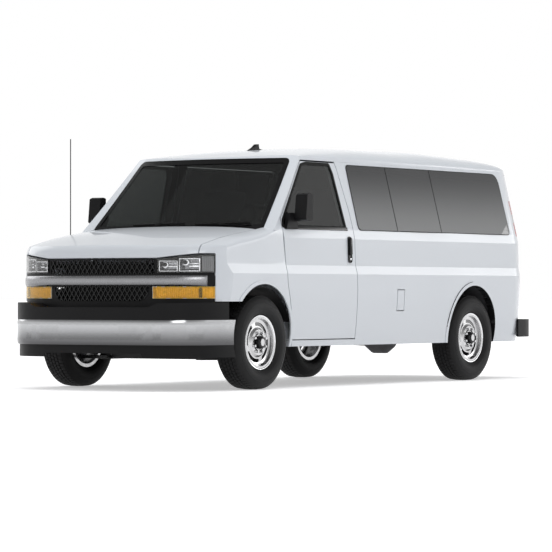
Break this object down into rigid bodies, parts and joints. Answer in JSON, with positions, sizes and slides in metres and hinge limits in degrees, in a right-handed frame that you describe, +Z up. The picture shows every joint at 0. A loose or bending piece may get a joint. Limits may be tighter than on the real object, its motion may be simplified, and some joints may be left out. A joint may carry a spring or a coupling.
{
  "type": "full-size passenger minibus",
  "caption": "Full-size passenger minibus with hinged cab, side and rear doors, hood and fuel flap, steered front wheels and a driven rear axle.",
  "frame": {"origin": "on the ground under the middle of the bounding box", "axes": "+Z up, +Y towards the rear, +X towards the driver's side"},
  "size_m": [2.224, 5.6927, 2.0699],
  "materials": {
    "paint": "gloss",
    "floor_paint": "satin",
    "chassis": "satin",
    "chrome": "polished",
    "steel": "satin",
    "wheel_steel": "polished",
    "cast_iron": "matte",
    "black_plastic": "satin",
    "cabin_plastic": "matte",
    "silver_plastic": "satin",
    "lamp_clear": "clear",
    "lamp_amber": "clear",
    "lamp_red": "clear",
    "clear_glass": "clear",
    "tinted_glass": "tinted",
    "tyre": "matte",
    "seat_fabric": "matte"
  },
  "bodies": {
    "body": {"roof": "paint", "side_left": "paint", "side_right": "paint", "bulkhead": "paint", "fenders": "paint", "windscreen": "clear_glass", "side_windows": "tinted_glass", "cowl": "black_plastic", "grille": "black_plastic", "grille_bar": "silver_plastic", "headlamps": "lamp_clear", "turn_lamps": "lamp_amber", "tail_lamps": "lamp_red", "front_bumper": "chrome", "bumper_trim": "black_plastic", "rear_bumper": "black_plastic", "front_support": "chassis", "frame": "chassis", "floor": "floor_paint", "wheel_liners": "black_plastic", "powertrain": "cast_iron", "driveshaft": "cast_iron", "rear_axle": "cast_iron", "suspension": "chassis", "exhaust": "steel", "fuel_tank": "steel", "spare_wheel": "tyre", "dashboard": "cabin_plastic", "front_seats": "seat_fabric", "rear_benches": "seat_fabric", "aerials": "black_plastic"},
    "hood": {"hood": "paint"},
    "driver_door": {"door_left": "paint", "door_left_glass": "clear_glass", "mirror_left": "black_plastic"},
    "passenger_door": {"door_right": "paint", "door_right_glass": "clear_glass", "mirror_right": "black_plastic"},
    "side_door_front": {"side_door_front": "paint", "side_door_front_glass": "tinted_glass"},
    "side_door_rear": {"side_door_rear": "paint", "side_door_rear_glass": "tinted_glass"},
    "rear_door_left": {"rear_door_left": "paint", "rear_door_left_glass": "tinted_glass"},
    "rear_door_right": {"rear_door_right": "paint", "rear_door_right_glass": "tinted_glass"},
    "fuel_flap": {"fuel_flap": "paint"},
    "knuckle_left": {"knuckle_left": "cast_iron"},
    "knuckle_right": {"knuckle_right": "cast_iron"},
    "wheel_front_left": {"tyre_front_left": "tyre", "rim_front_left": "wheel_steel"},
    "wheel_front_right": {"tyre_front_right": "tyre", "rim_front_right": "wheel_steel"},
    "wheel_rear_left": {"tyre_rear_left": "tyre", "rim_rear_left": "wheel_steel"},
    "wheel_rear_right": {"tyre_rear_right": "tyre", "rim_rear_right": "wheel_steel"},
    "steering_wheel": {"steering_wheel": "black_plastic"}
  },
  "joints": [
    {"name": "hood_hinge", "type": "hinge", "parent": "body", "child": "hood", "pos_m": [0, -1.726, 1.268], "axis": [-1, 0, 0], "range_deg": [0, 50]},
    {"name": "driver_door_hinge", "type": "hinge", "parent": "body", "child": "driver_door", "pos_m": [0.96, -1.316, 0.9], "axis": [0, 0, -1], "range_deg": [0, 65]},
    {"name": "passenger_door_hinge", "type": "hinge", "parent": "body", "child": "passenger_door", "pos_m": [-0.96, -1.316, 0.9], "axis": [0, 0, 1], "range_deg": [0, 65]},
    {"name": "side_door_front_hinge", "type": "hinge", "parent": "body", "child": "side_door_front", "pos_m": [-1.003, -0.344, 0.9], "axis": [0, 0, 1], "range_deg": [0, 80]},
    {"name": "side_door_rear_hinge", "type": "hinge", "parent": "body", "child": "side_door_rear", "pos_m": [-1.003, 1.074, 0.9], "axis": [0, 0, -1], "range_deg": [0, 90]},
    {"name": "rear_door_left_hinge", "type": "hinge", "parent": "body", "child": "rear_door_left", "pos_m": [0.852, 2.662, 0.9], "axis": [0, 0, -1], "range_deg": [0, 165]},
    {"name": "rear_door_right_hinge", "type": "hinge", "parent": "body", "child": "rear_door_right", "pos_m": [-0.852, 2.662, 0.9], "axis": [0, 0, 1], "range_deg": [0, 165]},
    {"name": "fuel_flap_hinge", "type": "hinge", "parent": "body", "child": "fuel_flap", "pos_m": [0.98981, 0.287, 0.72], "axis": [-0.0597, 0, -0.9982], "range_deg": [0, 100]},
    {"name": "steer_left", "type": "hinge", "parent": "body", "child": "knuckle_left", "pos_m": [0.84, -1.806, 0.382], "axis": [0, 0, 1], "range_deg": [-33, 33]},
    {"name": "steer_right", "type": "hinge", "parent": "body", "child": "knuckle_right", "pos_m": [-0.84, -1.806, 0.382], "axis": [0, 0, 1], "range_deg": [-33, 33]},
    {"name": "spin_front_left", "type": "hinge", "parent": "knuckle_left", "child": "wheel_front_left", "pos_m": [0.874, -1.806, 0.382], "axis": [1, 0, 0], "continuous": true},
    {"name": "spin_front_right", "type": "hinge", "parent": "knuckle_right", "child": "wheel_front_right", "pos_m": [-0.874, -1.806, 0.382], "axis": [1, 0, 0], "continuous": true},
    {"name": "spin_rear_left", "type": "hinge", "parent": "body", "child": "wheel_rear_left", "pos_m": [0.861, 1.623, 0.382], "axis": [1, 0, 0], "continuous": true},
    {"name": "spin_rear_right", "type": "hinge", "parent": "body", "child": "wheel_rear_right", "pos_m": [-0.861, 1.623, 0.382], "axis": [1, 0, 0], "continuous": true},
    {"name": "steering_wheel_turn", "type": "hinge", "parent": "body", "child": "steering_wheel", "pos_m": [0.39, -0.966, 1.35], "axis": [0, 0.9292, 0.3697], "range_deg": [-495, 495]}
  ],
  "couplings": [
    {"joint": "steer_right", "follows": "steer_left", "ratio": 1},
    {"joint": "steering_wheel_turn", "follows": "steer_left", "ratio": 15}
  ]
}
